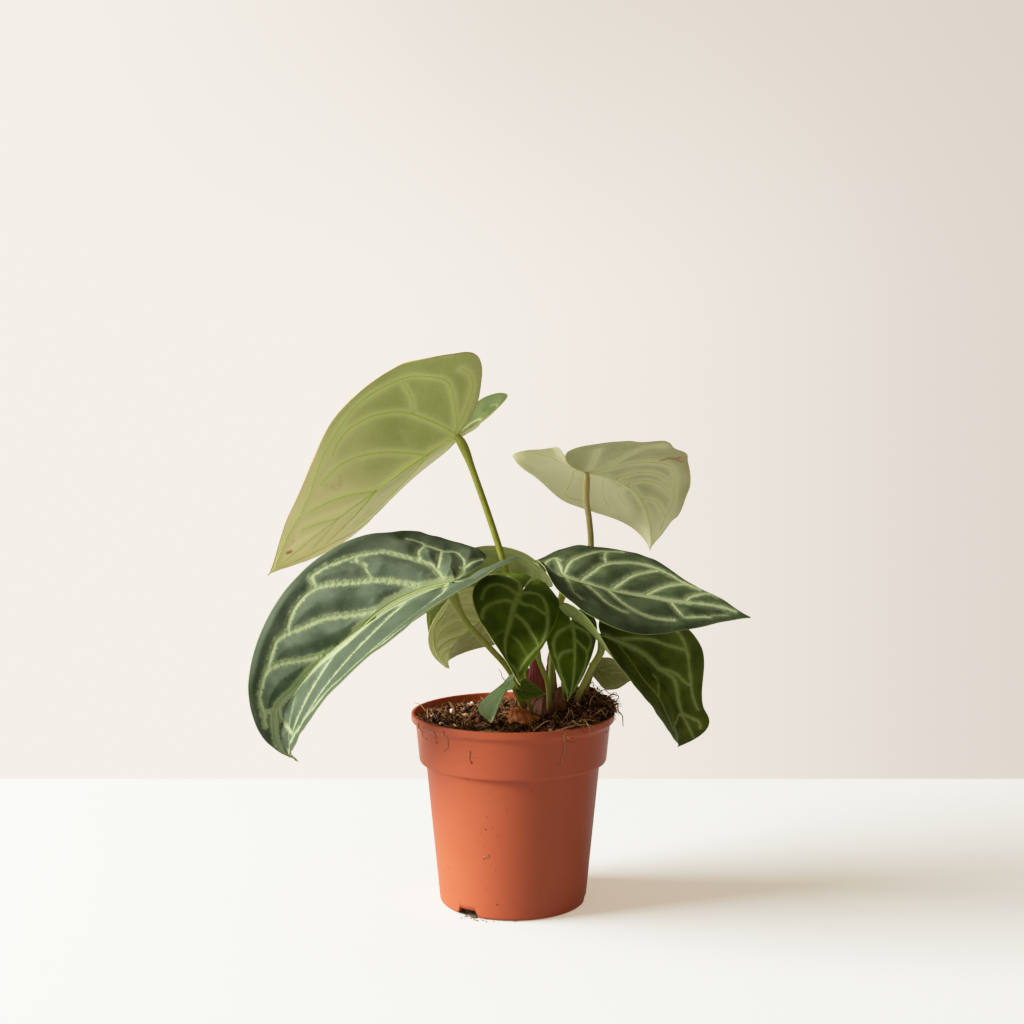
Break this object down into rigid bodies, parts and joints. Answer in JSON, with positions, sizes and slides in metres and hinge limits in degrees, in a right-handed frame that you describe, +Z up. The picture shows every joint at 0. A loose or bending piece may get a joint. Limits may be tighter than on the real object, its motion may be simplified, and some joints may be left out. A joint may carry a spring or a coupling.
{
  "type": "potted aroid house plant",
  "caption": "Aroid house plant with heart-shaped, pale-veined velvet leaves on long stems, in a round plastic nursery pot filled with bark soil.",
  "frame": {"origin": "centre of the pot's flat underside, on the surface that it stands on", "axes": "+Z up the pot's axis, +X to the right and +Y to the back, seen from the side that the low front leaves face"},
  "size_m": [0.2865, 0.2027, 0.3239],
  "materials": {
    "terracotta": "satin thin-walled plastic, terracotta orange",
    "soil": "dark crumbled bark and peat",
    "crown": "rough brown stub",
    "stem": "smooth waxy yellow-green",
    "blade": "velvety deep green with pale veins above, matt yellow-green below",
    "scale_red": "thin, satin, red-brown",
    "scale_pink": "thin, satin, pink-red",
    "scale_brown": "thin, dry, brown",
    "scale_papery": "thin, papery, orange-brown"
  },
  "bodies": {
    "root": {"pot": "terracotta", "soil": "soil", "crown": "crown", "scale_red": "scale_red", "scale_pink": "scale_pink", "scale_brown": "scale_brown", "scale_papery": "scale_papery", "stem_tall_left": "stem", "leaf_tall_left": "blade", "stem_big_left": "stem", "leaf_big_left": "blade", "stem_big_right": "stem", "leaf_big_right": "blade", "stem_tall_right": "stem", "leaf_tall_right": "blade", "stem_front_heart": "stem", "leaf_front_heart": "blade", "stem_front_slim": "stem", "leaf_front_slim": "blade", "stem_low_right": "stem", "leaf_low_right": "blade", "stem_back_left": "stem", "leaf_back_left": "blade", "stem_back_centre": "stem", "leaf_back_centre": "blade", "stem_young_folded": "stem", "leaf_young_folded": "blade", "stem_young_small": "stem", "leaf_young_small": "blade", "stem_back_right": "stem", "leaf_back_right": "blade"}
  },
  "joints": []
}
